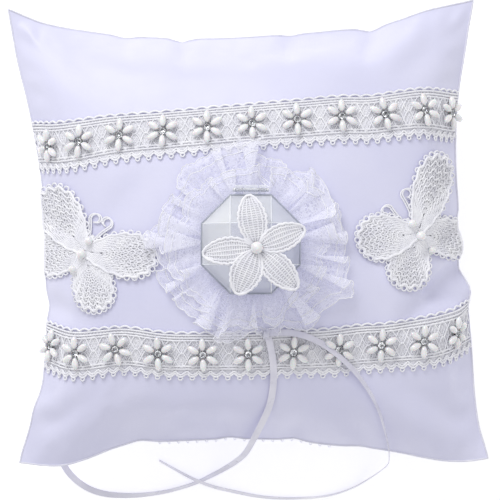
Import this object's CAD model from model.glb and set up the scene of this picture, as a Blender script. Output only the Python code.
# %% [markdown]
# # A ring bearer pillow
# A square satin cushion lies on its back. Two lace bands with bead flowers cross it, two lace
# butterflies sit beside a gathered rosette, and a clear faceted ring box stands in the middle.
# Lengths in this lesson are written in millimetres and made metres when a mesh is filled.

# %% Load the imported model
import math

import bpy
import numpy as np
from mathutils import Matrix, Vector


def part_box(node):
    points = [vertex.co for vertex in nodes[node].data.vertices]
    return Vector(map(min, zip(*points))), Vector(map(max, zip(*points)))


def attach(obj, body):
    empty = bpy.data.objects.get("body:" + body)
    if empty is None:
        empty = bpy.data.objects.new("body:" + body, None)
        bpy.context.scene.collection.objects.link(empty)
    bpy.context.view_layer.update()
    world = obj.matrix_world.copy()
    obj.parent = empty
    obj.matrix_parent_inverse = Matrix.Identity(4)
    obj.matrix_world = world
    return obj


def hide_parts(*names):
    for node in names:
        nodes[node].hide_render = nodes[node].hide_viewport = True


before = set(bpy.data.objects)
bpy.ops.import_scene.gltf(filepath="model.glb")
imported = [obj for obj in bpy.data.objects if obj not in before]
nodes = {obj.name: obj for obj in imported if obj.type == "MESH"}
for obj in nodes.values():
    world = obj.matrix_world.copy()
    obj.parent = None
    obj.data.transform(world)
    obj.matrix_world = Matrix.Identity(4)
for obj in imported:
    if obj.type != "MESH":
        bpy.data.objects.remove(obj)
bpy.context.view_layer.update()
scene = bpy.context.scene
MM = 0.001

# %% [markdown]
# ## Camera
# The pillow is seen from almost straight above, so the camera stands high and a little
# towards the lower edge. A long lens keeps the box from looking swollen.

# %% Camera
CAMERA_DISTANCE = 1300.0
CAMERA_ELEVATION = 88.0
CAMERA_TARGET = np.array([1.7, -7.0, 32.0])
VIEW_WIDTH = 500 / 2.3

camera_data = bpy.data.cameras.new("camera")
camera_data.sensor_width = 36.0
camera_data.lens = 36.0 * CAMERA_DISTANCE / VIEW_WIDTH
camera_data.clip_start = 0.05
camera = bpy.data.objects.new("camera", camera_data)
scene.collection.objects.link(camera)
tilt = math.radians(CAMERA_ELEVATION)
back_off = np.array([0.0, -math.cos(tilt), math.sin(tilt)]) * CAMERA_DISTANCE
camera.location = (CAMERA_TARGET + back_off) * MM
camera.rotation_euler = (math.pi / 2 - tilt, 0.0, 0.0)
scene.camera = camera
print("camera at", tuple(round(value, 3) for value in camera.location))

# %% [markdown]
# ## Meshes from arrays
# Every new piece is worked out as whole arrays: rows of points, then faces that index them.
# Three small helpers fill a mesh, lay a grid surface and sweep round cords along many lines
# at once.


# %% Mesh helpers
def fill_mesh(name, points, face_blocks, material, smooth=True):
    """An object from points in mm and blocks of faces, each block with one number of corners."""
    mesh = bpy.data.meshes.new(name)
    loops = np.concatenate([block.ravel() for block in face_blocks]).astype(np.int32)
    sizes = np.concatenate([np.full(len(block), block.shape[1]) for block in face_blocks])
    starts = np.concatenate(([0], np.cumsum(sizes)[:-1])).astype(np.int32)
    mesh.vertices.add(len(points))
    mesh.vertices.foreach_set("co", (np.asarray(points) * MM).astype(np.float32).ravel())
    mesh.loops.add(len(loops))
    mesh.loops.foreach_set("vertex_index", loops)
    mesh.polygons.add(len(sizes))
    mesh.polygons.foreach_set("loop_start", starts)
    mesh.update(calc_edges=True)
    mesh.validate()
    mesh.polygons.foreach_set("use_smooth", np.full(len(mesh.polygons), smooth))
    mesh.materials.append(material)
    piece = bpy.data.objects.new(name, mesh)
    scene.collection.objects.link(piece)
    return piece


def grid_faces(rows, columns, close_rows=False, close_columns=False):
    """Quads of a grid: corner k, its right neighbour, the one above that, the one above k."""
    index = np.arange(rows * columns).reshape(rows, columns)
    if close_rows:
        index = np.vstack([index, index[:1]])
    if close_columns:
        index = np.hstack([index, index[:, :1]])
    quads = np.stack([index[:-1, :-1], index[:-1, 1:], index[1:, 1:], index[1:, :-1]], axis=-1)
    return quads.reshape(-1, 4)


def add_uv(piece, uv_of_point):
    """A UV map in metres of cloth, from one pair of numbers per point."""
    layer = piece.data.uv_layers.new(name="cloth")
    corners = np.empty(len(piece.data.loops), dtype=np.int32)
    piece.data.loops.foreach_get("vertex_index", corners)
    layer.data.foreach_set("uv", uv_of_point[corners].astype(np.float32).ravel())


def unit(vectors):
    return vectors / np.maximum(np.linalg.norm(vectors, axis=-1, keepdims=True), 1e-9)


def cords(lines, normals, radius, sides=6, closed=False, flat=1.0):
    """Round cords along m lines of n points: each point gets a ring of radius about the line.

    A ring lies across the line's tangent, one axis along the normal, squeezed there by flat.
    """
    lines = np.asarray(lines, dtype=float)
    if closed:
        tangents = unit(np.roll(lines, -1, axis=1) - np.roll(lines, 1, axis=1))
    else:
        tangents = unit(np.gradient(lines, axis=1))
    across = unit(np.cross(tangents, normals))
    up = np.cross(across, tangents)
    turn = np.linspace(0, 2 * np.pi, sides, endpoint=False)
    ring = np.cos(turn)[:, None] * across[:, :, None, :]
    ring = ring + flat * np.sin(turn)[:, None] * up[:, :, None, :]
    points = lines[:, :, None, :] + radius * ring
    count, length = lines.shape[:2]
    tube = grid_faces(length, sides, close_rows=closed, close_columns=True)
    offsets = np.arange(count)[:, None, None] * (length * sides)
    blocks = [(tube[None] + offsets).reshape(-1, 4)[:, ::-1]]
    if not closed:
        first = np.arange(sides)
        last = first[::-1] + (length - 1) * sides
        blocks.append((np.stack([first, last])[None] + offsets).reshape(-1, sides))
    return points.reshape(-1, 3), blocks


def join(parts):
    """One set of points and face blocks from several."""
    points = []
    blocks = []
    shift = 0
    for part_points, part_blocks in parts:
        points.append(part_points)
        blocks.extend(block + shift for block in part_blocks)
        shift += len(part_points)
    return np.concatenate(points), blocks


def smooth_through(knots, values, at):
    """Cubic Hermite curve through values at knots, each slope the mean of its two chords."""
    knots = np.asarray(knots, dtype=float)
    values = np.asarray(values, dtype=float)
    slopes = np.gradient(values, knots)
    span = np.clip(np.searchsorted(knots, at) - 1, 0, len(knots) - 2)
    width = knots[span + 1] - knots[span]
    share = (at - knots[span]) / width
    start = values[span] * (1 + 2 * share) * (1 - share) ** 2
    end = values[span + 1] * share**2 * (3 - 2 * share)
    lean_in = slopes[span] * width * share * (1 - share) ** 2
    lean_out = slopes[span + 1] * width * share**2 * (share - 1)
    return start + end + lean_in + lean_out


# %% [markdown]
# ## Shared material effects
# Two effects turn up in several finishes: the fine cross of warp and weft threads, and soft
# cloudy change of tone. Each is a node group, placed in every material with its own values.


# %% Material helpers
def new_group(name, inputs, outputs):
    group = bpy.data.node_groups.new(name, "ShaderNodeTree")
    for socket, kind, value in inputs:
        made = group.interface.new_socket(socket, in_out="INPUT", socket_type=kind)
        if value is not None:
            made.default_value = value
    for socket, kind in outputs:
        group.interface.new_socket(socket, in_out="OUTPUT", socket_type=kind)
    return group, group.nodes.new("NodeGroupInput"), group.nodes.new("NodeGroupOutput")


def math_node(tree, operation, first, second):
    node = tree.nodes.new("ShaderNodeMath")
    node.operation = operation
    for socket, value in zip(node.inputs, (first, second)):
        if isinstance(value, (int, float)):
            socket.default_value = value
        else:
            tree.links.new(value, socket)
    return node.outputs[0]


def build_weave():
    """Warp and weft: two sine bands at right angles, multiplied into small raised squares."""
    group, source, result = new_group(
        "weave",
        [("Vector", "NodeSocketVector", None), ("Threads", "NodeSocketFloat", 900.0)],
        [("Height", "NodeSocketFloat")],
    )
    bands = []
    for direction in ("X", "Y"):
        wave = group.nodes.new("ShaderNodeTexWave")
        wave.bands_direction = direction
        wave.inputs["Distortion"].default_value = 0.4
        group.links.new(source.outputs["Vector"], wave.inputs["Vector"])
        group.links.new(source.outputs["Threads"], wave.inputs["Scale"])
        bands.append(wave.outputs["Fac"])
    height = math_node(group, "MULTIPLY", bands[0], bands[1])
    group.links.new(height, result.inputs["Height"])
    return group


def build_clouds():
    """Soft change of tone: noise stretched between a low and a high value."""
    group, source, result = new_group(
        "clouds",
        [
            ("Vector", "NodeSocketVector", None),
            ("Scale", "NodeSocketFloat", 30.0),
            ("Low", "NodeSocketFloat", 0.0),
            ("High", "NodeSocketFloat", 1.0),
        ],
        [("Tone", "NodeSocketFloat")],
    )
    noise = group.nodes.new("ShaderNodeTexNoise")
    noise.inputs["Detail"].default_value = 4.0
    group.links.new(source.outputs["Vector"], noise.inputs["Vector"])
    group.links.new(source.outputs["Scale"], noise.inputs["Scale"])
    spread = group.nodes.new("ShaderNodeMapRange")
    spread.inputs["From Min"].default_value = 0.3
    spread.inputs["From Max"].default_value = 0.7
    group.links.new(noise.outputs["Fac"], spread.inputs["Value"])
    group.links.new(source.outputs["Low"], spread.inputs["To Min"])
    group.links.new(source.outputs["High"], spread.inputs["To Max"])
    group.links.new(spread.outputs["Result"], result.inputs["Tone"])
    return group


def build_lace_net():
    """How much a fine lace hides: cell walls are thread, and cloudy patches are darned in."""
    group, source, result = new_group(
        "lace_net",
        [
            ("Vector", "NodeSocketVector", None),
            ("Cells", "NodeSocketFloat", 900.0),
            ("Thin", "NodeSocketFloat", 0.3),
            ("Dense", "NodeSocketFloat", 0.9),
        ],
        [("Cover", "NodeSocketFloat")],
    )
    cells = group.nodes.new("ShaderNodeTexVoronoi")
    cells.feature = "DISTANCE_TO_EDGE"
    group.links.new(source.outputs["Vector"], cells.inputs["Vector"])
    group.links.new(source.outputs["Cells"], cells.inputs["Scale"])
    wall = group.nodes.new("ShaderNodeMapRange")
    wall.inputs["From Min"].default_value = 0.08
    wall.inputs["From Max"].default_value = 0.28
    wall.inputs["To Min"].default_value = 1.0
    wall.inputs["To Max"].default_value = 0.0
    group.links.new(cells.outputs["Distance"], wall.inputs["Value"])
    patches = group.nodes.new("ShaderNodeTexNoise")
    group.links.new(source.outputs["Vector"], patches.inputs["Vector"])
    spread = math_node(group, "MULTIPLY", source.outputs["Cells"], 0.28)
    group.links.new(spread, patches.inputs["Scale"])
    darned = group.nodes.new("ShaderNodeMapRange")
    darned.inputs["From Min"].default_value = 0.48
    darned.inputs["From Max"].default_value = 0.6
    group.links.new(patches.outputs["Fac"], darned.inputs["Value"])
    either = math_node(group, "MAXIMUM", wall.outputs["Result"], darned.outputs["Result"])
    cover = group.nodes.new("ShaderNodeMapRange")
    group.links.new(either, cover.inputs["Value"])
    group.links.new(source.outputs["Thin"], cover.inputs["To Min"])
    group.links.new(source.outputs["Dense"], cover.inputs["To Max"])
    group.links.new(cover.outputs["Result"], result.inputs["Cover"])
    return group


def build_facets():
    """A tone for each flat face, from how far its normal leans to one side."""
    group, source, result = new_group(
        "facets", [("Vector", "NodeSocketVector", None)], [("Tone", "NodeSocketFloat")]
    )
    lean = group.nodes.new("ShaderNodeVectorMath")
    lean.operation = "DOT_PRODUCT"
    group.links.new(source.outputs["Vector"], lean.inputs[0])
    lean.inputs[1].default_value = (-0.7, 0.6, 0.4)
    spread = group.nodes.new("ShaderNodeMapRange")
    spread.inputs["From Min"].default_value = -0.3
    spread.inputs["From Max"].default_value = 0.75
    group.links.new(lean.outputs["Value"], spread.inputs["Value"])
    group.links.new(spread.outputs["Result"], result.inputs["Tone"])
    return group


WEAVE = build_weave()
CLOUDS = build_clouds()
LACE_NET = build_lace_net()
FACETS = build_facets()


class Finish:
    """A material in the making: its Principled shader and the effects linked into it."""

    def __init__(self, name, color, roughness, coordinates="Object", **sockets):
        self.material = bpy.data.materials.new(name)
        self.material.use_nodes = True
        self.tree = self.material.node_tree
        self.shader = self.tree.nodes["Principled BSDF"]
        self.shader.inputs["Base Color"].default_value = (*color, 1.0)
        self.shader.inputs["Roughness"].default_value = roughness
        for socket, value in sockets.items():
            self.shader.inputs[socket.replace("_", " ")].default_value = value
        self.place = self.tree.nodes.new("ShaderNodeTexCoord").outputs[coordinates]
        self.height = None

    def effect(self, group, output, **values):
        node = self.tree.nodes.new("ShaderNodeGroup")
        node.node_tree = group
        self.tree.links.new(self.place, node.inputs["Vector"])
        for socket, value in values.items():
            node.inputs[socket].default_value = value
        return node.outputs[output]

    def tones(self, dark, light, scale):
        """Base colour drifts between two tones in soft clouds."""
        mix = self.tree.nodes.new("ShaderNodeMix")
        mix.data_type = "RGBA"
        mix.inputs["A"].default_value = (*dark, 1.0)
        mix.inputs["B"].default_value = (*light, 1.0)
        self.tree.links.new(self.effect(CLOUDS, "Tone", Scale=scale), mix.inputs["Factor"])
        self.tree.links.new(mix.outputs["Result"], self.shader.inputs["Base Color"])
        return self

    def gloss(self, low, high, scale):
        """Roughness drifts between two values."""
        tone = self.effect(CLOUDS, "Tone", Scale=scale, Low=low, High=high)
        self.tree.links.new(tone, self.shader.inputs["Roughness"])
        return self

    def relief(self, height, strength, distance):
        """A bump from a height, stacked on the bumps that are there already."""
        bump = self.tree.nodes.new("ShaderNodeBump")
        bump.inputs["Strength"].default_value = strength
        bump.inputs["Distance"].default_value = distance
        self.tree.links.new(height, bump.inputs["Height"])
        if self.height is not None:
            self.tree.links.new(self.height, bump.inputs["Normal"])
        self.height = bump.outputs["Normal"]
        self.tree.links.new(self.height, self.shader.inputs["Normal"])
        return self


# %% [markdown]
# ## Finishes
# Satin is smooth and shines along its floats, so it gets a low roughness, some sheen and a
# very fine weave. Cotton lace is matt and fibrous. Pearls have a hard coat over a soft body.

# %% Cloth and thread finishes
satin = Finish(
    "satin", (0.70, 0.70, 0.88), 0.42, "UV",
    Anisotropic=0.45, Sheen_Weight=0.25, Sheen_Roughness=0.35, Specular_IOR_Level=0.45,
)
satin.tones((0.675, 0.675, 0.865), (0.72, 0.718, 0.89), 25.0).gloss(0.34, 0.46, 60.0)
satin.relief(satin.effect(WEAVE, "Height", Threads=550.0), 0.12, 0.0001)
satin.relief(satin.effect(CLOUDS, "Tone", Scale=28.0), 0.25, 0.0012)

ribbon_satin = Finish(
    "ribbon_satin", (0.74, 0.73, 0.85), 0.3, "Object",
    Sheen_Weight=0.3, Sheen_Roughness=0.3, Specular_IOR_Level=0.6,
)
ribbon_satin.tones((0.66, 0.65, 0.77), (0.84, 0.83, 0.92), 90.0).gloss(0.25, 0.38, 200.0)
ribbon_satin.relief(ribbon_satin.effect(WEAVE, "Height", Threads=700.0), 0.15, 0.0001)

cotton = Finish(
    "cotton_lace", (0.76, 0.76, 0.80), 0.75, "Object", Sheen_Weight=0.35, Sheen_Roughness=0.5
)
cotton.tones((0.84, 0.84, 0.91), (0.95, 0.95, 0.99), 180.0)
cotton.relief(cotton.effect(CLOUDS, "Tone", Scale=1500.0), 0.5, 0.0002)

veil = Finish(
    "lace_ground", (0.78, 0.78, 0.86), 0.7, "Object", Sheen_Weight=0.3, Alpha=0.84
)
veil.tones((0.87, 0.87, 0.94), (0.95, 0.95, 0.99), 120.0)
veil.relief(veil.effect(WEAVE, "Height", Threads=320.0), 0.6, 0.0003)

tulle = Finish(
    "fine_lace", (0.92, 0.92, 0.98), 0.55, "UV",
    Sheen_Weight=0.3, Emission_Color=(0.80, 0.80, 1.0, 1.0), Emission_Strength=0.11,
)
tulle.tones((0.82, 0.82, 0.93), (0.92, 0.92, 0.99), 45.0)
tulle.relief(tulle.effect(WEAVE, "Height", Threads=260.0), 0.25, 0.0002)
tulle_net = tulle.effect(LACE_NET, "Cover", Cells=1100.0, Thin=0.12, Dense=0.5)
tulle.tree.links.new(tulle_net, tulle.shader.inputs["Alpha"])

thread = Finish("thread", (0.76, 0.76, 0.86), 0.6, "Object", Sheen_Weight=0.3)
thread.tones((0.70, 0.70, 0.82), (0.82, 0.82, 0.90), 300.0)
thread.relief(thread.effect(CLOUDS, "Tone", Scale=2500.0), 0.5, 0.0002)

pad_satin = Finish("pad_satin", (0.80, 0.80, 0.90), 0.45, "Object", Sheen_Weight=0.3)
pad_satin.tones((0.86, 0.86, 0.94), (0.94, 0.94, 0.98), 80.0)
pad_satin.relief(pad_satin.effect(WEAVE, "Height", Threads=500.0), 0.3, 0.0002)

# %% Pearl, stone, metal and clear plastic finishes
pearl = Finish(
    "pearl", (0.80, 0.80, 0.82), 0.2, "Object",
    Coat_Weight=1.0, Coat_Roughness=0.08, Subsurface_Weight=0.12, Subsurface_Scale=0.002,
)
pearl.tones((0.77, 0.77, 0.79), (0.91, 0.91, 0.93), 260.0).gloss(0.14, 0.28, 500.0)

rhinestone = Finish(
    "rhinestone", (0.94, 0.96, 1.0), 0.02, "Object", Transmission_Weight=1.0, IOR=1.7
)
rhinestone.gloss(0.01, 0.05, 400.0)

silver = Finish("silver_cup", (0.72, 0.72, 0.74), 0.25, "Object", Metallic=1.0)
silver.tones((0.14, 0.14, 0.15), (0.50, 0.50, 0.52), 400.0).gloss(0.18, 0.36, 700.0)

# Thin clear walls are shown by how little they hide: hardly anything face on, and more
# where they are seen edge on. Each facet has its own tone.
clear = Finish(
    "clear_plastic", (0.75, 0.82, 0.95), 0.06, "Normal", Specular_IOR_Level=0.7, IOR=1.49
)
facet_mix = clear.tree.nodes.new("ShaderNodeMix")
facet_mix.data_type = "RGBA"
facet_mix.inputs["A"].default_value = (0.74, 0.77, 0.98, 1.0)
facet_mix.inputs["B"].default_value = (0.98, 1.0, 1.0, 1.0)
clear.tree.links.new(clear.effect(FACETS, "Tone"), facet_mix.inputs["Factor"])
clear.tree.links.new(facet_mix.outputs["Result"], clear.shader.inputs["Base Color"])
facing = clear.tree.nodes.new("ShaderNodeLayerWeight")
facing.inputs["Blend"].default_value = 0.45
hides = clear.tree.nodes.new("ShaderNodeMapRange")
hides.inputs["To Min"].default_value = 0.2
hides.inputs["To Max"].default_value = 0.8
clear.tree.links.new(facing.outputs["Facing"], hides.inputs["Value"])
clear.tree.links.new(hides.outputs["Result"], clear.shader.inputs["Alpha"])
clear.place = clear.tree.nodes.new("ShaderNodeTexCoord").outputs["Object"]
clear.gloss(0.03, 0.10, 150.0)

edge_shine = Finish("facet_edge", (0.92, 0.95, 1.0), 0.08, "Object", Coat_Weight=0.5)
edge_shine.tones((0.80, 0.84, 0.92), (0.98, 0.99, 1.0), 120.0)

edge_shade = Finish("wall_edge", (0.42, 0.46, 0.56), 0.15, "Object", Coat_Weight=0.5)
edge_shade.tones((0.26, 0.28, 0.35), (0.44, 0.47, 0.56), 120.0)

fibre = Finish("fibre", (0.85, 0.85, 0.84), 0.9, "Object", Sheen_Weight=0.5)
fibre.tones((0.80, 0.80, 0.79), (0.88, 0.88, 0.87), 60.0)
fibre.relief(fibre.effect(CLOUDS, "Tone", Scale=700.0), 0.8, 0.001)

glue = Finish("glue", (0.82, 0.82, 0.80), 0.4, "Object", Subsurface_Weight=0.2)
glue.tones((0.76, 0.76, 0.74), (0.86, 0.86, 0.84), 150.0)

steel = Finish("steel", (0.55, 0.55, 0.57), 0.3, "Object", Metallic=1.0)
steel.tones((0.66, 0.67, 0.70), (0.80, 0.80, 0.83), 600.0).gloss(0.22, 0.4, 900.0)

CAD_FINISHES = {
    "box_base": clear,
    "box_lid": clear,
    "ring_pad": pad_satin,
    "hinge_pin": steel,
    "box_glue_pad": glue,
}
for node_name, finish in CAD_FINISHES.items():
    slots = nodes[node_name].material_slots
    for slot in slots:
        slot.material = finish.material
print("materials", len(bpy.data.materials))

# %% [markdown]
# ## Ribbon
# One narrow satin ribbon is tacked at its middle under the rosette, and its two tails run
# down the cover, over the bottom seam and along the table. A tail is a flat strip that turns
# about its own line, so it shows its face in some places and its edge in others. The line is
# a NURBS spline through hand-chosen control points, read back as plain points.

# %% Ribbon tails
RIBBON_WIDTH = 3.0
RIBBON_THICKNESS = 0.24

LEFT_TAIL_ROUTE = [
    (9.0, -43.5, 64.6),
    (11.3, -52, 62.6),
    (12, -63, 58.6),
    (10.5, -74, 53.0),
    (6.5, -82.5, 47.2),
    (2.5, -90.5, 38.7),
    (-0.5, -95.8, 29),
    (-4, -99, 17.5),
    (-8, -102, 7.5),
    (-15, -106, 2),
    (-23.5, -110, 1.7),
    (-37, -113.8, 1.7),
    (-53, -115.3, 1.6),
    (-67, -113.8, 1.4),
    (-77, -107.5, 1.2),
    (-83, -98.5, 1.2),
    (-84, -88, 1.5),
]
RIGHT_TAIL_ROUTE = [
    (8.0, -43.5, 65.2),
    (17, -42.5, 65.2),
    (28, -45.3, 64.4),
    (36.5, -50.5, 62.8),
    (44.5, -57.5, 60),
    (51.5, -66, 55.5),
    (57, -76, 50.2),
    (60, -86, 44.5),
    (62, -94.5, 37),
    (62.3, -99.5, 26.5),
    (61, -102, 15.5),
    (56.5, -106, 6.5),
    (48, -111.5, 2),
    (37, -115.3, 1.7),
    (22, -116.4, 1.7),
    (7, -115.8, 1.7),
    (-6, -113, 3),
    (-15.5, -110.8, 5.2),
    (-25, -106.8, 5.2),
    (-33, -102.5, 2.6),
    (-38.5, -99.5, 1.7),
]


def route_points(name, route):
    """Points of the open NURBS curve of order 3 whose control points are the route."""
    curve = bpy.data.curves.new(name, "CURVE")
    curve.dimensions = "3D"
    curve.resolution_u = 10
    spline = curve.splines.new("NURBS")
    spline.points.add(len(route) - 1)
    for point, place in zip(spline.points, route):
        point.co = (*(value * MM for value in place), 1.0)
    spline.order_u = 3
    spline.use_endpoint_u = True
    carrier = bpy.data.objects.new(name, curve)
    scene.collection.objects.link(carrier)
    bpy.context.view_layer.update()
    mesh = bpy.data.meshes.new_from_object(carrier)
    points = np.empty(len(mesh.vertices) * 3)
    mesh.vertices.foreach_get("co", points)
    bpy.data.objects.remove(carrier)
    bpy.data.curves.remove(curve)
    bpy.data.meshes.remove(mesh)
    return points.reshape(-1, 3) / MM


def line_length(points):
    return float(np.linalg.norm(np.diff(points, axis=0), axis=1).sum())


def ribbon_strip(name, points, twist_places, twist_degrees):
    """A strip whose width turns about the line by a twist read at its share of the length."""
    steps = np.linalg.norm(np.diff(points, axis=0), axis=1)
    share = np.concatenate(([0], np.cumsum(steps))) / steps.sum()
    tangents = unit(np.gradient(points, axis=0))
    level = unit(np.cross(tangents, np.array([0.0, 0.0, 1.0]) + 1e-4))
    lift = np.cross(level, tangents)
    twist = np.radians(smooth_through(twist_places, twist_degrees, share))[:, None]
    width_way = np.cos(twist) * level + np.sin(twist) * lift
    thick_way = np.cross(tangents, width_way)
    corners = []
    for across, through in ((-1, -1), (0, -1), (1, -1), (1, 1), (0, 1), (-1, 1)):
        offset = across * width_way * RIBBON_WIDTH / 2
        offset = offset + through * thick_way * RIBBON_THICKNESS / 2
        corners.append(points + offset)
    strip = np.stack(corners, axis=1)
    rows = len(points)
    first = np.arange(6)
    caps = np.stack([first, first[::-1] + (rows - 1) * 6])
    faces = [grid_faces(rows, 6, close_columns=True)[:, ::-1], caps]
    piece = fill_mesh(name, strip.reshape(-1, 3), faces, ribbon_satin.material, smooth=False)
    return piece


left_points = route_points("left_route", LEFT_TAIL_ROUTE)
right_points = route_points("right_route", RIGHT_TAIL_ROUTE)
left_tail = ribbon_strip(
    "satin_ribbon_left", left_points,
    [0, 0.12, 0.3, 0.45, 0.6, 0.72, 0.82, 1], [10, 15, 28, 35, 60, 48, 25, 10],
)
right_tail = ribbon_strip(
    "satin_ribbon_right", right_points,
    [0, 0.1, 0.25, 0.36, 0.5, 0.7, 0.85, 1], [20, 36, 58, 75, 80, 70, 60, 72],
)
for tail, node_name, points, far_end in (
    (left_tail, "ribbon_left_tail", left_points, "bare"),
    (right_tail, "ribbon_right_tail", right_points, "bare"),
):
    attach(tail, "pillow")
    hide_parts(node_name)
    length = line_length(points)
    print(tail.name, "length mm", round(length, 1))

# %% [markdown]
# ## The stuffed cover
# Two square panels are sewn edge to edge and stuffed. Cloth keeps its length, so as the
# middle rises each side is drawn in between its corners. The outline is a blend of four side
# curves, the crown is a product of two rounded profiles, and a short cloth simulation under
# pressure then lets the satin pucker along the seam as real cloth does.

# %% Outline and crown
SEAM_Z = 32.0
FRONT_RISE = 35.0
BACK_RISE = 36.0
GRID = 81
CLOTH_HALF = 100.0

SIDES = {
    "left": (
        [-1, -0.9, -0.8, -0.68, -0.5, -0.2, 0.1, 0.35, 0.6, 0.8, 1],
        [-97.7, -95.6, -92.6, -89.2, -87.6, -87.5, -88.1, -90.8, -95.2, -99.8, -103.2],
    ),
    "right": (
        [-1, -0.8, -0.45, -0.2, 0.05, 0.3, 0.6, 0.8, 1],
        [104.5, 100, 97.8, 95.2, 93, 91.6, 92.6, 95.6, 98.6],
    ),
    "bottom": (
        [-1, -0.8, -0.7, -0.6, -0.37, -0.14, 0.1, 0.34, 0.58, 0.75, 0.9, 1],
        [-99, -100, -97, -93, -90.6, -89.5, -89.6, -91.8, -94, -97, -98.2, -97],
    ),
    "top": (
        [-1, -0.845, -0.63, -0.3, 0, 0.23, 0.45, 0.56, 0.68, 0.8, 1],
        [97.5, 91.7, 87.8, 85.6, 85.9, 87.8, 89.5, 89.8, 93, 97, 101.5],
    ),
}


def crown_profile(u):
    """From 1 in the middle to 0 at the seam, full in the shoulders."""
    return (1 - u**2) * (1 + 0.5 * u**2 + 0.6 * u**6)


def even_shares(count):
    """Places from -1 to 1 that are evenly spaced along the crown's own arc."""
    fine = np.linspace(-1, 1, 2001)
    steps = np.hypot(np.diff(fine) * 90.5, np.diff(crown_profile(fine)) * FRONT_RISE)
    arc = np.concatenate(([0], np.cumsum(steps)))
    return np.interp(np.linspace(0, arc[-1], count), arc, fine)


def outline_patch(s, t):
    """A patch between four side curves: the two ruled surfaces less the corners' own."""
    corner = {side: (values[0], values[-1]) for side, (_, values) in SIDES.items()}
    left = smooth_through(*SIDES["left"], t)
    right = smooth_through(*SIDES["right"], t)
    low = smooth_through(*SIDES["bottom"], s)
    high = smooth_through(*SIDES["top"], s)
    a = (s + 1) / 2
    b = (t + 1) / 2
    x = left * (1 - a) + right * a
    y = low * (1 - b) + high * b
    return x, y


share = even_shares(GRID)
S, T = np.meshgrid(share, share)
plan_x, plan_y = outline_patch(S, T)
swell = crown_profile(S) * crown_profile(T)
front_start = np.stack([plan_x, plan_y, SEAM_Z + FRONT_RISE * swell], axis=-1)
back_start = np.stack([plan_x, plan_y, SEAM_Z - BACK_RISE * swell], axis=-1)
print("outline x", plan_x.min().round(1), plan_x.max().round(1))

# %% [markdown]
# Both panels share their rim points, so the mesh for the simulation is one closed bag. The
# pressure is gentle and the cloth is let out by a few percent, which is what gives puckers.

# %% Simulate the bag
SIM_FRAMES = 16
SIM_CAP = 5.0
SEAM_HOLD = 0.2
rim = np.zeros((GRID, GRID), dtype=bool)
rim[0] = rim[-1] = True
rim[:, 0] = rim[:, -1] = True
front_index = np.arange(GRID * GRID).reshape(GRID, GRID)
back_index = front_index.copy()
back_index[~rim] = GRID * GRID + np.arange((~rim).sum())


def panel_quads(index, outward_up):
    quads = np.stack([index[:-1, :-1], index[:-1, 1:], index[1:, 1:], index[1:, :-1]], axis=-1)
    quads = quads.reshape(-1, 4)
    return quads if outward_up else quads[:, ::-1]


def simulate_bag(front, back):
    """Cloth under inner pressure, each point's travel capped, returned as two panels."""
    points = np.concatenate([front.reshape(-1, 3), back[~rim]])
    faces = [panel_quads(front_index, True), panel_quads(back_index, False)]
    bag = fill_mesh("bag", points, faces, satin.material)
    cloth = bag.modifiers.new("cloth", "CLOTH")
    settings = cloth.settings
    settings.quality = 5
    settings.mass = 0.12
    settings.tension_stiffness = 12
    settings.compression_stiffness = 12
    settings.shear_stiffness = 4
    settings.bending_stiffness = 0.15
    settings.use_pressure = True
    settings.uniform_pressure_force = 4.0
    settings.shrink_min = -0.035
    settings.effector_weights.gravity = 0.0
    cloth.collision_settings.use_collision = False
    for number in range(1, SIM_FRAMES + 1):
        scene.frame_set(number)
    solved = bag.evaluated_get(bpy.context.evaluated_depsgraph_get()).to_mesh()
    moved = np.empty(len(solved.vertices) * 3)
    solved.vertices.foreach_get("co", moved)
    travel = moved.reshape(-1, 3) / MM - points
    reach = np.linalg.norm(travel, axis=1, keepdims=True)
    travel *= np.minimum(1, SIM_CAP / np.maximum(reach, 1e-6))
    print("cloth moved up to", reach.max().round(1), "mm, mean", reach.mean().round(2))
    inward = 100 - 100 * np.maximum(np.abs(S), np.abs(T))
    freedom = SEAM_HOLD + (1 - SEAM_HOLD) * (1 - np.exp(-((inward / 14.0) ** 2)))
    travel *= np.concatenate([freedom.ravel(), freedom[~rim]])[:, None]
    points = points + travel
    bpy.data.objects.remove(bag)
    scene.frame_set(1)
    return points[front_index], points[back_index]


front, back = simulate_bag(front_start, back_start)

# %% [markdown]
# The satin also has a few soft folds of its own: each is a shallow valley or ridge along a
# short line, deepest in the middle of its length. Then the back is pressed flat on the table.

# %% Folds and the flat back
FOLDS = (
    # start x, start y, end x, end y, half width, depth (a valley is below zero)
    (97, -10, 68, -40, 4.0, -5.0),
    (99, -20, 80, -46, 3.6, 3.2),
    (94, 6, 72, -16, 3.6, -3.4),
    (95, -30, 66, -22, 3.4, -1.8),
    (46, -4, 64, -20, 4.6, -2.2),
    (58, -2, 66, -32, 4.0, 1.4),
    (100, -88, 62, -60, 6.0, -2.4),
    (84, -94, 62, -70, 5.0, 1.6),
    (-94, -90, -60, -64, 6.0, -2.8),
    (-93, -78, -66, -66, 4.5, 1.8),
    (-96, 88, -66, 62, 7.0, -2.2),
    (92, 92, 62, 64, 7.0, -2.4),
    (78, 92, 60, 74, 4.5, 1.6),
    (-29, 88, -25, 70, 3.6, -2.6),
    (-54, 88, -48, 72, 4.0, -1.8),
    (20, 88, 17, 72, 4.0, -1.8),
    (55, 92, 51, 74, 3.6, -2.8),
    (-94, -28, -58, -42, 4.6, -2.0),
    (-60, 4, -42, 26, 6.0, -1.4),
    (20, -92, 26, -70, 4.4, -2.0),
    (-6, -92, -10, -74, 4.4, -1.6),
    (-48, -94, -38, -72, 5.0, -2.2),
    (50, -92, 42, -72, 4.6, -1.8),
)
PUCKER_DEPTH = 0.75
PUCKER_REACH = 9.0


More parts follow.
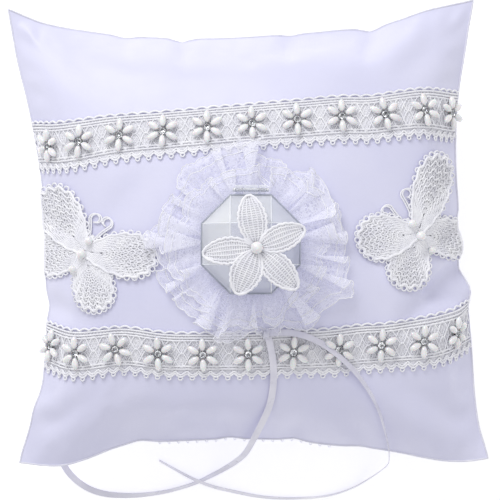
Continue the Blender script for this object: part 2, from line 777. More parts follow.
def grid_normals(grid):
    """Cross product of the grid's two directions, made one long."""
    return unit(np.cross(np.gradient(grid, axis=1), np.gradient(grid, axis=0)))


def fold_depth(x, y):
    """Sum over folds of depth, times a bell across the line, times a bell along it."""
    total = np.zeros_like(x)
    for x0, y0, x1, y1, half_width, depth in FOLDS:
        line = np.array([x1 - x0, y1 - y0], dtype=float)
        length = np.linalg.norm(line)
        line /= length
        along = ((x - x0) * line[0] + (y - y0) * line[1]) / length
        across = (x - x0) * line[1] - (y - y0) * line[0]
        total += depth * np.exp(-((across / half_width) ** 2) - ((along - 0.4) / 0.45) ** 2)
    return total


def pucker_depth():
    """Seam puckers: uneven ripples along each side that die away from the seam."""
    across = 100 * S
    up = 100 * T
    near_ends = np.exp(-(((100 - np.abs(up)) / PUCKER_REACH) ** 2))
    near_sides = np.exp(-(((100 - np.abs(across)) / PUCKER_REACH) ** 2))
    ripple_x = np.sin(across / 1.9 + 1.6 * np.sin(across / 13)) + 0.5 * np.sin(across / 4.3)
    ripple_y = np.sin(up / 2.1 + 1.4 * np.sin(up / 11)) + 0.5 * np.sin(up / 3.7)
    inward = 100 - np.maximum(np.abs(across), np.abs(up))
    start = 1 - np.exp(-((inward / 5.0) ** 2))
    return PUCKER_DEPTH * (near_ends * ripple_x + near_sides * ripple_y) * start


cad_crown_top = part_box("cover_front")[1][2] / MM
box_low, box_high = (np.array(corner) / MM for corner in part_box("box_glue_pad"))
box_middle = (box_low + box_high) / 2
relief = fold_depth(front[..., 0], front[..., 1]) + pucker_depth()
front = front + grid_normals(front) * relief[..., None]
nearest = np.hypot(front[..., 0] - box_middle[0], front[..., 1] - box_middle[1]).argmin()
reached = front[..., 2].ravel()[nearest]
rise_scale = (cad_crown_top - 0.3 - SEAM_Z) / (reached - SEAM_Z)
front[..., 2] = SEAM_Z + (front[..., 2] - SEAM_Z) * rise_scale
FLAT_SOFTNESS = 1.2
back_z = back[..., 2]
back[..., 2] = FLAT_SOFTNESS * np.logaddexp(0, back_z / FLAT_SOFTNESS) + 0.05
back[rim] = front[rim]
front_normals = grid_normals(front)
print("rise scaled by", round(float(rise_scale), 3), "back lowest", back[..., 2].min().round(2))

# %% Cover panels
cloth_u = np.linspace(-CLOTH_HALF, CLOTH_HALF, GRID)
CLOTH_U, CLOTH_V = np.meshgrid(cloth_u, cloth_u)
cloth_uv = np.stack([CLOTH_U, CLOTH_V], axis=-1).reshape(-1, 2) * MM


def smooth_piece(piece, levels):
    subdivision = piece.modifiers.new("smooth", "SUBSURF")
    subdivision.levels = levels
    subdivision.render_levels = levels


cover_front = fill_mesh(
    "satin_front", front.reshape(-1, 3), [panel_quads(front_index, True)], satin.material
)
cover_back = fill_mesh(
    "satin_back", back.reshape(-1, 3), [panel_quads(front_index, False)], satin.material
)
for panel, replaced in ((cover_front, "cover_front"), (cover_back, "cover_back")):
    add_uv(panel, cloth_uv)
    smooth_piece(panel, 1)
    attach(panel, "pillow")
    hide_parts(replaced)
print("cover points", len(cover_front.data.vertices) + len(cover_back.data.vertices))

# %% [markdown]
# Inside is loose fibre. It fills the cover, so its core is the cover's own shape drawn in
# by a millimetre, closed all round.

# %% Filling
CORE_GAP = 2.5
CORE_SHARE = 0.93
cover_middle = (front + back) / 2
core_front = cover_middle.copy()
core_back = cover_middle.copy()
thickness = front[..., 2] - back[..., 2]
core_half = np.maximum(thickness / 2 - CORE_GAP, 0.02) * CORE_SHARE
core_front[..., 2] += core_half
core_back[..., 2] -= core_half
centre_xy = cover_middle[..., :2].reshape(-1, 2).mean(axis=0)
for half in (core_front, core_back):
    half[..., :2] = centre_xy + (half[..., :2] - centre_xy) * CORE_SHARE
core_back[rim] = core_front[rim]
core_points = np.concatenate([core_front.reshape(-1, 3), core_back[~rim]])
core_faces = [panel_quads(front_index, True), panel_quads(back_index, False)]
core = fill_mesh("fibre_core", core_points, core_faces, fibre.material)
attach(core, "pillow")
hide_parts("fibre_filling")
print("filling points", len(core.data.vertices))

# %% [markdown]
# ## Working on the cover
# Everything sewn on the pillow was pinned to flat cloth first. So trims are drawn in cloth
# millimetres, across and up the panel, and carried to the stuffed cover by looking up the
# same place in its grid. A plan position is turned into cloth millimetres once, to start.


# %% From cloth to cover
def on_cover(u, v, lift=0.0):
    """Point and normal at cloth place u, v: a blend of the four nearest grid points."""
    u = np.asarray(u, dtype=float)
    v = np.asarray(v, dtype=float)
    column = (np.clip(u, -CLOTH_HALF, CLOTH_HALF) / CLOTH_HALF + 1) / 2 * (GRID - 1)
    row = (np.clip(v, -CLOTH_HALF, CLOTH_HALF) / CLOTH_HALF + 1) / 2 * (GRID - 1)
    i = np.clip(column.astype(int), 0, GRID - 2)
    j = np.clip(row.astype(int), 0, GRID - 2)
    a = (column - i)[..., None]
    b = (row - j)[..., None]

    def blend(grid):
        low = grid[j, i] * (1 - a) + grid[j, i + 1] * a
        high = grid[j + 1, i] * (1 - a) + grid[j + 1, i + 1] * a
        return low * (1 - b) + high * b

    normal = unit(blend(front_normals))
    point = blend(front)
    beyond = np.stack([u - np.clip(u, -CLOTH_HALF, CLOTH_HALF), np.zeros_like(u), np.zeros_like(u)], -1)
    return point + beyond + normal * np.asarray(lift)[..., None], normal


def cloth_places(x, y):
    """Cloth millimetres of plan positions: Newton steps down the cover's own slopes."""
    u = np.array(x, dtype=float)
    v = np.array(y, dtype=float)
    for _ in range(12):
        here = on_cover(u, v)[0]
        slope_u = on_cover(u + 1, v)[0] - here
        slope_v = on_cover(u, v + 1)[0] - here
        area = slope_u[..., 0] * slope_v[..., 1] - slope_v[..., 0] * slope_u[..., 1]
        area = np.maximum(area, 0.08)
        miss_x = x - here[..., 0]
        miss_y = y - here[..., 1]
        step_u = (miss_x * slope_v[..., 1] - miss_y * slope_v[..., 0]) / area
        step_v = (miss_y * slope_u[..., 0] - miss_x * slope_u[..., 1]) / area
        u = np.clip(u + np.clip(step_u, -6, 6), -99.3, 99.3)
        v = np.clip(v + np.clip(step_v, -6, 6), -99.3, 99.3)
    return u, v


def at_plan(x, y, lift=0.0):
    """Point and normal of the cover under or over plan positions."""
    return on_cover(*cloth_places(x, y), lift)


def sew(name, parts, finish, node_name, body="pillow", smooth=True):
    """Joins parts into one piece, puts it on its body and lets it stand for its CAD node."""
    points, blocks = join(parts)
    piece = fill_mesh(name, points, blocks, finish.material, smooth)
    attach(piece, body)
    if node_name:
        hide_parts(node_name)
    print(name, "faces", len(piece.data.polygons))
    return piece


# %% [markdown]
# ## Seam
# Where the two panels meet, the turned seam makes a fine raised line, and a hand-closed gap
# in the bottom seam shows a row of small slanting stitches.

# %% Seam line and closing stitches
rim_loop = np.concatenate(
    [front[0, :-1], front[:-1, -1], front[-1, :0:-1], front[:0:-1, 0]]
)
outward = unit(rim_loop - rim_loop.mean(axis=0))
sew("seam_line", [cords([rim_loop], [outward], 0.45, closed=True)], thread, None)

stitch_u = np.arange(-36.0, 30.0, 3.6)
stitch_way = np.linspace(-1, 1, 7)
stitch_lines = []
for u in stitch_u:
    seam_point = on_cover(u, -CLOTH_HALF)[0]
    lines_x = seam_point[0] + 0.5 * stitch_way
    lines_y = seam_point[1] - 0.5 - 0.7 * (1 - stitch_way**2)
    lines_z = seam_point[2] + 1.4 * stitch_way
    stitch_lines.append(np.stack([lines_x, lines_y, lines_z], axis=-1))
stitch_normals = np.tile([1.0, 0.0, 0.0], (len(stitch_u), 7, 1))
sew(
    "hand_stitches", [cords(stitch_lines, stitch_normals, 0.13)], thread, "closing_stitches",
)

# %% [markdown]
# ## Lace bands
# Guipure lace is embroidery with its ground dissolved away: heavy cords joined by fine bars.
# Each band is drawn as families of cords in its own strip: straight headings, a fine crossed
# net, waves, and a scalloped lower edge that ends in picot loops.

# %% Lace bands
SCALLOP = 4.65
BAND_STATIONS = np.array([-84.0, -60, -36, -16, 2, 22, 42, 62, 82])


def band_centre(line):
    """The band's middle in cloth millimetres, from its plan line y = line(x)."""
    places = np.stack(cloth_places(BAND_STATIONS, line(BAND_STATIONS)), axis=-1)
    slope_in = (places[1] - places[0])[1] / (places[1] - places[0])[0]
    slope_out = (places[-1] - places[-2])[1] / (places[-1] - places[-2])[0]
    u = np.concatenate(([-102], places[:, 0], [102]))
    first = places[0, 1] - slope_in * (places[0, 0] + 102)
    last = places[-1, 1] + slope_out * (102 - places[-1, 0])
    v = np.concatenate(([first], places[:, 1], [last]))
    return lambda at: smooth_through(u, v, at)


def upper_line(x):
    return 44.0 + 0.085 * x


def lower_line(x):
    return -53.0 + 0.02 * x + 5.5 * (x / 90) ** 2


def band_cords(centre):
    """Families of lines in the strip, each as rows of cloth places and a cord radius."""
    u = np.linspace(-99.0, 99.0, 320)
    wave = np.abs(np.sin(np.pi * u / SCALLOP))
    families = []

    def add_family(along, across, radius, lift, sides=5, closed=False):
        points, normals = on_cover(along, centre(along) + across, lift)
        families.append(cords(points, normals, radius, sides=sides, closed=closed))

    def lines(values):
        return np.stack([np.broadcast_to(value, u.shape) for value in values])

    straight = lines([9.2, 8.0, 6.9, -4.2, -5.4])
    add_family(np.broadcast_to(u, straight.shape), straight, 0.42, 0.75)
    edges = lines([9.8 + 0.9 * wave, -6.2 - 1.7 * wave, -7.2 - 1.7 * wave])
    add_family(np.broadcast_to(u, edges.shape), edges, 0.46, 0.8, sides=6)
    swing = np.sin(2 * np.pi * u / (2 * SCALLOP))
    waves = lines([4.2 + 3.0 * swing, 4.2 - 3.0 * swing, -1.6 + 3.2 * swing, -1.6 - 3.2 * swing])
    add_family(np.broadcast_to(u, waves.shape), waves, 0.36, 0.7)

    starts = np.arange(-99.0, 92.0, 1.55)
    climb = np.linspace(0, 1, 12)
    for lean in (1, -1):
        shift = climb if lean > 0 else 1 - climb
        along = starts[:, None] + shift[None, :] * 7.0
        across = np.broadcast_to(-6.0 + climb * 15.4, along.shape)
        add_family(along, across, 0.2, 0.45, sides=4)

    turn = np.linspace(0, 2 * np.pi, 10, endpoint=False)
    middles = (np.arange(-21, 21) + 0.5) * SCALLOP
    along = middles[:, None] + 0.85 * np.cos(turn)
    across = np.broadcast_to(-9.4 + 0.85 * np.sin(turn), along.shape)
    add_family(along, across, 0.38, 0.8, sides=5, closed=True)
    return families


def band_ground(name, centre):
    """The fine net behind the cords, as a thin strip that follows the cover."""
    u = np.linspace(-98.5, 98.5, 160)
    v = np.linspace(-7.4, 9.6, 12)
    U, V = np.meshgrid(u, v)
    points, _ = on_cover(U, centre(U) + V, 0.35)
    net = fill_mesh(name, points.reshape(-1, 3), [grid_faces(12, 160)], veil.material)
    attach(net, "pillow")
    return net


upper_centre = band_centre(upper_line)
lower_centre = band_centre(lower_line)
for side, centre in (("upper", upper_centre), ("lower", lower_centre)):
    sew(f"{side}_band_cords", band_cords(centre), cotton, f"{side}_lace_band")
    band_ground(f"{side}_band_net", centre)

# %% [markdown]
# ## Bead flowers
# Six rice pearls stand round a rhinestone in a silver cup. A rice pearl is an ellipsoid: a
# circle swept from tip to tip with a radius that follows a half ellipse.

# %% Bead shapes
PETAL_LENGTH = 5.5
PETAL_WIDTH = 3.0
PETAL_REACH = 4.55
BEAD_PITCH = 17.8


def ellipsoid(length, width, rows=9, columns=10):
    """Points of an ellipsoid along x: x is cosine of the row, radius its sine; closed poles."""
    polar = np.linspace(0, np.pi, rows)[1:-1]
    turn = np.linspace(0, 2 * np.pi, columns, endpoint=False)
    x = np.broadcast_to(np.cos(polar)[:, None] * length / 2, (rows - 2, columns))
    y = np.sin(polar)[:, None] * np.cos(turn) * width / 2
    z = np.sin(polar)[:, None] * np.sin(turn) * width / 2
    body = np.stack([x, y, z], axis=-1).reshape(-1, 3)
    points = np.concatenate([body, [[length / 2, 0, 0], [-length / 2, 0, 0]]])
    quads = grid_faces(rows - 2, columns, close_columns=True)
    ring = np.arange(columns)
    after = (ring + 1) % columns
    tip, tail = len(points) - 2, len(points) - 1
    low = (rows - 3) * columns
    first = np.stack([np.full(columns, tip), after, ring], axis=-1)
    last = np.stack([np.full(columns, tail), low + ring, low + after], axis=-1)
    return points, [quads[:, ::-1][:, ::-1], first, last]


def lathe(profile, columns=16):
    """Points of a turned shape: each profile pair is a radius and a height."""
    profile = np.asarray(profile, dtype=float)
    turn = np.linspace(0, 2 * np.pi, columns, endpoint=False)
    x = profile[:, :1] * np.cos(turn)
    y = profile[:, :1] * np.sin(turn)
    z = np.broadcast_to(profile[:, 1:], x.shape)
    points = np.stack([x, y, z], axis=-1).reshape(-1, 3)
    rows = len(profile)
    first = np.arange(columns)[::-1][None]
    last = np.arange(columns)[None] + (rows - 1) * columns
    return points, [grid_faces(rows, columns, close_columns=True), first, last]


def stamp(shape, origins, x_ways, y_ways, z_ways):
    """Copies of a shape, each in its own axes: origin + x ways, y ways and z ways."""
    points, blocks = shape
    axes = np.stack([x_ways, y_ways, z_ways], axis=1)
    placed = origins[:, None, :] + np.einsum("pk,mkc->mpc", points, axes)
    offsets = np.arange(len(origins))[:, None, None] * len(points)
    spread = [(block[None] + offsets).reshape(-1, block.shape[1]) for block in blocks]
    return placed.reshape(-1, 3), spread


def seats(u, v, lift):
    """Origins and axes on the cover: x along the cloth, z along the normal."""
    origins, z_ways = on_cover(u, v, lift)
    ahead, _ = on_cover(np.asarray(u) + 0.5, v, lift)
    x_ways = unit(ahead - origins)
    y_ways = unit(np.cross(z_ways, x_ways))
    return origins, np.cross(y_ways, z_ways), y_ways, z_ways


# %% Sew the bead flowers on
rice = ellipsoid(PETAL_LENGTH, PETAL_WIDTH)
cup_shape = lathe([(1.2, 0), (1.75, 0.5), (1.8, 1.25), (1.62, 1.3), (1.4, 0.9), (0.6, 0.5)])
stone_shape = lathe([(0.4, 0.5), (1.55, 1.25), (1.5, 1.4), (0.85, 1.95)], columns=8)


def flower_places(centre, middle_u):
    """Eleven even places along the band's cloth line."""
    u = middle_u + BEAD_PITCH * np.arange(-5, 6)
    return u, centre(u) + 1.2


for side, centre, middle_x, line in (
    ("upper", upper_centre, 2.6, upper_line), ("lower", lower_centre, 0.9, lower_line),
):
    middle_u = float(cloth_places(middle_x, line(middle_x))[0])
    u, v = flower_places(centre, middle_u)
    origins, x_ways, y_ways, z_ways = seats(u, v, 1.3)
    petals = []
    for k in range(6):
        angle = math.pi / 2 + k * math.pi / 3
        out = math.cos(angle) * x_ways + math.sin(angle) * y_ways
        over = np.cross(z_ways, out)
        middles = origins + out * PETAL_REACH + z_ways * PETAL_WIDTH * 0.45
        petals.append(stamp(rice, middles, out, over, z_ways))
    sew(f"{side}_rice_pearls", petals, pearl, f"{side}_pearl_petals")
    cup_part = [stamp(cup_shape, origins, x_ways, y_ways, z_ways)]
    stone_part = [stamp(stone_shape, origins, x_ways, y_ways, z_ways)]
    sew(f"{side}_cups", cup_part, silver, f"{side}_stone_cups")
    sew(
        f"{side}_stones", stone_part, rhinestone, f"{side}_rhinestones",
        smooth=False,
    )

# %% [markdown]
# ## Butterflies
# Each butterfly is one guipure motif. A wing is a teardrop from the body; rings of cord
# repeat its outline smaller and smaller, short bars join the rings, and picot loops run
# round the edge. The antennae curl at their ends and three pearls mark the body.


# %% Butterfly motif
def wing_edge(length, width, turn):
    """Fan from the root: x = half length (1 - cos), y = half width sin, fuller at the end."""
    reach = (1 - np.cos(turn)) / 2
    y = width / 2 * np.sin(turn) * (0.25 + 0.75 * reach) ** 0.55 * 1.18
    return np.stack([length * reach, y], axis=-1)


def wing_lines(length, width):
    """Cord families of one wing in its own plane: closed rings, bars, picots and the web."""
    turn = np.linspace(0.16, 2 * np.pi - 0.16, 90)
    edge = wing_edge(length, width, turn)
    root = np.array([length * 0.22, 0.0])
    ripple = 1 + 0.045 * np.cos(turn * 15)
    scales = (1.0, 0.88, 0.76, 0.64, 0.52, 0.40, 0.28, 0.17, 0.07)
    rings = np.stack([(edge - root) * (scale * ripple[:, None]) + root for scale in scales])
    bars = []
    for step, (high, low) in enumerate(zip(scales[:-1], scales[1:])):
        number = 54 - 6 * step
        bar_turn = np.linspace(0.2, 2 * np.pi - 0.2, number)
        lean = 0.5 * (bar_turn[1] - bar_turn[0])
        for way in (-1, 1):
            outer = (wing_edge(length, width, bar_turn + way * lean) - root) * high + root
            inner = (wing_edge(length, width, bar_turn) - root) * low + root
            share = np.linspace(0, 1, 3)[None, :, None]
            bars.append(outer[:, None] * (1 - share) + inner[:, None] * share)
    picot_turn = np.linspace(0.7, 2 * np.pi - 0.7, 23)
    picot_edge = (wing_edge(length, width, picot_turn) - root) * 1.05 + root
    loop = np.linspace(0, 2 * np.pi, 9, endpoint=False)
    picots = picot_edge[:, None, :] + 1.1 * np.stack([np.cos(loop), np.sin(loop)], axis=-1)[None]
    web = (edge - root)[None] * np.linspace(0.06, 0.99, 9)[:, None, None] + root
    return rings, np.concatenate(bars), picots, web


def antenna_line(length, side):
    """A gently bowed line that curls round a shrinking circle at its end."""
    share = np.linspace(0, 1, 14)
    straight = np.stack([share * length * 0.72, side * 0.8 * np.sin(share * np.pi)], axis=-1)
    curl = np.linspace(0, 1.6 * np.pi, 16)[1:]
    radius = 2.6 * (1 - 0.45 * curl / curl[-1])
    middle = straight[-1] + np.array([0.0, side * 2.6])
    arc = np.stack([np.sin(curl) * radius, -side * np.cos(curl) * radius], axis=-1) + middle
    return np.concatenate([straight, arc])


def turned(points, degrees):
    """Plane points turned about the origin."""
    angle = math.radians(degrees)
    rotation = np.array([[math.cos(angle), math.sin(angle)], [-math.sin(angle), math.cos(angle)]])
    return points @ rotation


def butterfly(side, x, y, heading, wings, antennae):
    """All the cords of one butterfly, laid on the cover about the cloth place of x, y."""
    place = np.array([x, y])
    parts = []
    webs = []

    def lay(lines, degrees, radius, lift, sides=5, closed=False):
        spread = turned(lines, degrees) + place
        points, normals = at_plan(spread[..., 0], spread[..., 1], lift)
        parts.append(cords(points, normals, radius, sides=sides, closed=closed))

    for number, (length, width, angle) in enumerate(wings):
        rings, bars, picots, web = wing_lines(length, width)
        way = heading + angle
        layer = 0.5 * (number < 2)
        lay(rings[:1], way, 0.6, 1.0 + layer, sides=6)
        lay(rings[1:], way, 0.4, 0.95 + layer)
        lay(bars, way, 0.27, 0.85 + layer, sides=4)
        lay(picots, way, 0.36, 0.9 + layer, closed=True)
        spread = turned(web, way) + place
        points, _ = at_plan(spread[..., 0], spread[..., 1], 0.55 + layer)
        webs.append((points.reshape(-1, 3), [grid_faces(9, 90)]))
    for length, angle, curl_side in antennae:
        line = antenna_line(length, curl_side)
        for shift in (-0.45, 0.45):
            lay(line[None] + np.array([3.0, shift]), heading + angle, 0.4, 0.9)
    spine = np.stack([np.linspace(-11, 8, 20), np.zeros(20)], axis=-1)
    for shift, bow in ((-1.6, 1), (1.6, 1), (-0.6, 0), (0.6, 0)):
        bowed = spine + np.stack([np.zeros(20), shift * np.sin(np.linspace(0.2, 3, 20))], axis=-1)
        lay(bowed[None], heading, 0.5, 1.2)
    sew(f"{side}_butterfly", parts, cotton, f"{side}_butterfly_lace")
    sew(f"{side}_butterfly_web", webs, veil, None)

    along = np.array([-8.4, -1.0, 5.2])
    turned_seats = turned(np.stack([along, np.zeros(3)], axis=-1), heading) + place
    seat_u, seat_v = cloth_places(turned_seats[:, 0], turned_seats[:, 1])
    origins, x_ways, y_ways, z_ways = seats(seat_u, seat_v, 2.8)
    sizes = np.array([0.86, 1.08, 0.95])[:, None]
    ball = ellipsoid(3.9, 3.9, rows=13, columns=18)
    balls = [stamp(ball, origins, x_ways * sizes, y_ways * sizes, z_ways * sizes)]
    sew(f"{side}_pearls", balls, pearl, f"{side}_butterfly_pearls")


butterfly(
    "left", -68.5, -8.6, 61.0,
    [(32, 19, 62), (30, 19, -66), (21.5, 18.5, 122), (25, 17, -137)],
    [(16, 20, -1), (17, -18, 1)],
)
butterfly(
    "right", 72.7, -1.0, 125.0,
    [(25, 19, 61), (35, 16, -52), (23, 17.5, 131), (22.5, 17, -129)],
    [(18, 10, 1), (20, -13, -1)],
)

# %% [markdown]
# ## Rosette
# Two strips of fine lace are gathered round the box. A gathered strip is much longer at its
# free edge than at its sewn edge, so it stands in waves. The surface runs round the box by
# angle and outwards by share; waves of uneven size grow towards the free edge.

# %% Rosette
BOX_X, BOX_Y = box_middle[0], box_middle[1]


def ruffle(name, node_name, inner, outer, lift, waves, height, seed, swing):
    """Gathered tier: radius, height and angle each carry the same waves, grown outwards."""
    rng = np.random.default_rng(seed)
    rows, columns = 18, 1200
    out = np.linspace(0, 1, rows)[:, None]
    turn = np.linspace(0, 2 * np.pi, columns, endpoint=False)[None, :]

    def wander(*counts):
        """Slow change round the ring: sines with whole counts, each at its own start."""
        return sum(np.sin(n * turn + rng.uniform(0, 6)) for n in counts) / len(counts)

    phase = waves * turn + 3.4 * wander(2, 3, 5) + 2.4 * wander(7, 11)
    uneven = np.clip(0.75 + 1.1 * wander(3, 5, 8, 13), 0.15, 1.6)
    wave = np.sin(phase) + 0.3 * np.sin(2 * phase + 3 * wander(4, 6))
    reach = outer + 5.5 * wander(2, 3, 5) + 4.0 * wander(9, 14, 17)
    grown = out**0.45
    scallop = 0.8 * np.abs(np.sin(turn * waves * 2)) * out**4
    radius = inner + (reach - inner) * out + scallop
    angle = turn + swing * np.cos(phase) * grown * uneven
    x = BOX_X + radius * np.cos(angle)
    y = BOX_Y + radius * np.sin(angle)
    rise = lift * np.sin(np.pi * np.clip(out, 0, 0.7)) + 1.2
    z = at_plan(x, y)[0][..., 2] + rise + height * uneven * (wave * 0.5 + 0.66) * grown
    z += 0.5 * wander(37, 53) * out
    points = np.stack([x, y, z], axis=-1)
    faces = grid_faces(rows, columns, close_columns=True)
    tier = fill_mesh(name, points.reshape(-1, 3), [faces[:, ::-1]], tulle.material)
    # The strip's cut length shows two thirds of the way out, clear of the scalloped edge.
    edge = line_length(points[12])
    deep = float(np.median(np.linalg.norm(np.diff(points, axis=0), axis=2).sum(axis=0)))
    run = np.broadcast_to(turn / (2 * np.pi) * edge * MM, (rows, columns))
    drop = np.broadcast_to(out * deep * MM, (rows, columns))
    add_uv(tier, np.stack([run, drop], axis=-1).reshape(-1, 2))
    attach(tier, "pillow")
    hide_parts(node_name)
    print(name, "cut mm", round(edge), "by", round(deep, 1))
    rim_lines = np.stack([points[-1], points[-4]])
    slopes = unit(np.gradient(points, axis=0))
    rim_normals = np.stack([slopes[-1], slopes[-4]])
    edging = cords(rim_lines, rim_normals, 0.22, closed=True)
    sew(name + "_edging", [edging], cotton, None)
    return tier, (edge * MM, deep * MM)


outer_tier, outer_cut = ruffle(
    "outer_tier", "outer_lace_ruffle", 19.5, 40.0, 0.8, 23, 3.4, 4, 0.12
)
inner_tier, inner_cut = ruffle(
    "inner_tier", "inner_lace_ruffle", 19.5, 33.5, 2.4, 17, 4.4, 9, 0.16
)

# %% Tack over the ribbon's middle
tack_turn = np.linspace(0, np.pi, 9)
tack_lines = []
for shift in (-0.9, -0.3, 0.3, 0.9):
    tack_x = 8.6 + shift + 0.2 * np.cos(tack_turn)
    tack_y = -43.8 + 2.2 * np.cos(tack_turn)
    tack_z = 63.4 + 3.0 * np.sin(tack_turn)
    tack_lines.append(np.stack([tack_x, tack_y, tack_z], axis=-1))
tack_normals = np.tile([1.0, 0.0, 0.0], (4, 9, 1))
sew("tack_stitches", [cords(tack_lines, tack_normals, 0.35)], thread, "ribbon_tack")

# %% [markdown]
# ## Flower on the lid
# Five lace petals fan from a pearl. A petal is a grid from heart to tip: its half width
# follows a rounded profile, its middle is raised and its tip droops over the lid's facets.

# %% Lid flower
lid_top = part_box("box_lid")[1][2] / MM
HEART = np.array([BOX_X + 2.5, BOX_Y - 1.9])
PETALS = (  # direction in degrees, length, width
    (99, 22.3, 11.4),
    (22, 21.5, 10.6),
    (-45, 23.8, 11.2),
    (-113, 20.8, 12.4),
    (-174, 22.6, 10.6),
)


def petal_point(along, across, length, width):
    """Petal place: x grows with along, y is across times the half width, z lifts and droops."""
    half = width / 2 * np.sin(np.pi * np.clip(along, 0, 1) ** 0.95) ** 0.6
    half = half * (1 + 0.05 * np.sin(along * 50))
    x = length * (0.06 + 0.94 * along)
    y = half * across
    z = 1.9 * np.sin(np.pi * along) * (1 - 0.35 * across**2) + 1.0 * across**2 * along - 2.6 * along**3
    return np.stack([x, y, z + 0.6], axis=-1)


def place_petal(points, angle, layer):
    flat = turned(points[..., :2], angle) + HEART
    return np.concatenate([flat, (points[..., 2:] + lid_top + layer)], axis=-1)


petal_cords = []
petal_webs = []
for number, (angle, length, width) in enumerate(PETALS):
    layer = 0.35 * (number % 2)
    along = np.linspace(0.02, 0.985, 26)
    A, B = np.meshgrid(along, np.linspace(-1, 1, 13))
    web = place_petal(petal_point(A, B, length, width), angle, layer)
    petal_webs.append((web.reshape(-1, 3), [grid_faces(13, 26)]))
    up = np.array([0.0, 0.0, 1.0])

    def lace_line(a, b, radius, sides=5):
        lines = place_petal(petal_point(a, b, length, width), angle, layer + 0.25)
        petal_cords.append(cords(lines, np.broadcast_to(up, lines.shape), radius, sides=sides))

    rim_a = np.concatenate([along, along[::-1]])
    for scale, radius in ((1.0, 0.55), (0.72, 0.4)):
        rim_b = np.concatenate([np.full(26, scale), np.full(26, -scale)])
        lace_line(rim_a[None], rim_b[None], radius, 6)
    rung_a = np.arange(0.14, 0.95, 0.045)[:, None] * np.ones((1, 9))
    rung_b = np.linspace(-0.72, 0.72, 9)[None] * np.ones((len(rung_a), 1))
    lace_line(rung_a, rung_b, 0.27, 4)
    vein = np.linspace(0.05, 0.95, 20)[None]
    for side in (-0.36, 0.0, 0.36):
        lace_line(vein, np.full_like(vein, side), 0.34)
    post_a = np.repeat(np.arange(0.1, 0.97, 0.05), 2)[:, None] * np.ones((1, 3))
    post_side = np.tile([1.0, -1.0], len(post_a) // 2)[:, None]
    post_b = np.linspace(0.72, 1.0, 3)[None] * post_side
    lace_line(post_a, post_b, 0.24, 4)

flower_cords = sew("flower_cords", petal_cords, cotton, "lid_flower_lace", body="lid")
flower_web = sew("flower_web", petal_webs, veil, None, body="lid")
web_wall = flower_web.modifiers.new("wall", "SOLIDIFY")
web_wall.thickness = 0.0002

# %% [markdown]
# The moulded box has crisp edges that catch the light. They are fine lines laid along the
# lid: a square table, eight edges that fan from its corners, and the eight-sided shoulder.

# %% Edges of the lid
lid_half = min(20.5, float(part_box("box_lid")[1][0] / MM - BOX_X))
SHOULDER_Z, RIM_Z, TABLE_HALF = 88.1, 85.1, 8.5
print("lid half", lid_half, "lid top", lid_top)
side_half = lid_half * math.tan(math.pi / 8)


def lid_loop(places, z):
    ring = np.array([(BOX_X + x, BOX_Y + y, z) for x, y in places], dtype=float)
    after = np.roll(ring, -1, axis=0)
    share = np.linspace(0, 1, 6, endpoint=False)[None, :, None]
    return (ring[:, None] * (1 - share) + after[:, None] * share).reshape(1, -1, 3)


def edge_lines(lines, radius, closed=False):
    lines = np.asarray(lines, dtype=float)
    up = np.broadcast_to(np.array([0.05, 0.05, 1.0]), lines.shape)
    return cords(lines, up, radius, sides=6, closed=closed)


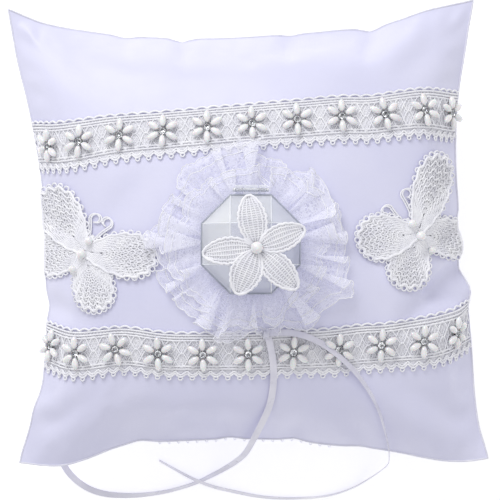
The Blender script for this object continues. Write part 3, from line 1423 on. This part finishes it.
octagon = [
    (lid_half, -side_half),
    (lid_half, side_half),
    (side_half, lid_half),
    (-side_half, lid_half),
    (-lid_half, side_half),
    (-lid_half, -side_half),
    (-side_half, -lid_half),
    (side_half, -lid_half),
]
table = [(x * TABLE_HALF, y * TABLE_HALF) for x, y in ((1, 1), (-1, 1), (-1, -1), (1, -1))]
fans = []
for x, y in table:
    for toward in octagon:
        if toward[0] * x > 0 and toward[1] * y > 0:
            start = np.array([BOX_X + x, BOX_Y + y, lid_top])
            stop = np.array([BOX_X + toward[0], BOX_Y + toward[1], SHOULDER_Z])
            fans.append(start + (stop - start) * np.linspace(0, 1, 8)[:, None])
shine_parts = [edge_lines(lid_loop(table, lid_top), 0.2, closed=True), edge_lines(fans, 0.2)]
shade_parts = [edge_lines(lid_loop(octagon, z), 0.36, closed=True) for z in (SHOULDER_Z, RIM_Z)]
sew("facet_edges", shine_parts, edge_shine, None, body="lid")
sew("shoulder_edges", shade_parts, edge_shade, None, body="lid")

# %% Pearl at the flower's heart
heart_origin = np.array([[HEART[0], HEART[1], lid_top + 3.6]])
axes = np.eye(3)
heart_ball = stamp(
    ellipsoid(5.2, 5.2, rows=17, columns=24), heart_origin, axes[:1], axes[1:2], axes[2:]
)
sew("heart_pearl", [heart_ball], pearl, "flower_centre_pearl", body="lid")

# %% [markdown]
# ## Floor and light
# A plain pale floor and soft light: one broad lamp from beyond the upper edge, a weak one
# from below it, and an even white sky.

# %% Floor, sky and lamps
floor_finish = Finish(
    "floor", (0.95, 0.95, 0.95), 0.9, Emission_Color=(1.0, 1.0, 1.0, 1.0), Emission_Strength=0.32
)
floor_finish.tones((0.94, 0.94, 0.94), (0.96, 0.96, 0.96), 3.0)
edge = 1500.0
floor_points = np.array([[-edge, -edge, 0], [edge, -edge, 0], [edge, edge, 0], [-edge, edge, 0]])
floor = fill_mesh("floor", floor_points, [np.array([[0, 1, 2, 3]])], floor_finish.material, False)

world = bpy.data.worlds.new("sky")
scene.world = world
world.use_nodes = True
world.node_tree.nodes["Background"].inputs["Color"].default_value = (1.0, 1.0, 1.0, 1.0)
world.node_tree.nodes["Background"].inputs["Strength"].default_value = 0.63


def lamp(name, place, energy, size):
    """A square area lamp in metres that looks at the middle of the pillow."""
    light = bpy.data.lights.new(name, "AREA")
    light.energy = energy
    light.size = size
    body = bpy.data.objects.new(name, light)
    body.location = place
    away = np.array(place) - np.array([0.0, 0.0, 0.03])
    flat = math.hypot(away[0], away[1])
    body.rotation_euler = (math.atan2(flat, away[2]), 0.0, math.atan2(away[0], -away[1]))
    scene.collection.objects.link(body)


lamp("window", (-0.35, 0.72, 0.75), 5.2, 0.5)
lamp("fill", (0.3, -0.3, 1.0), 1.2, 0.8)
scene.view_settings.view_transform = "Standard"
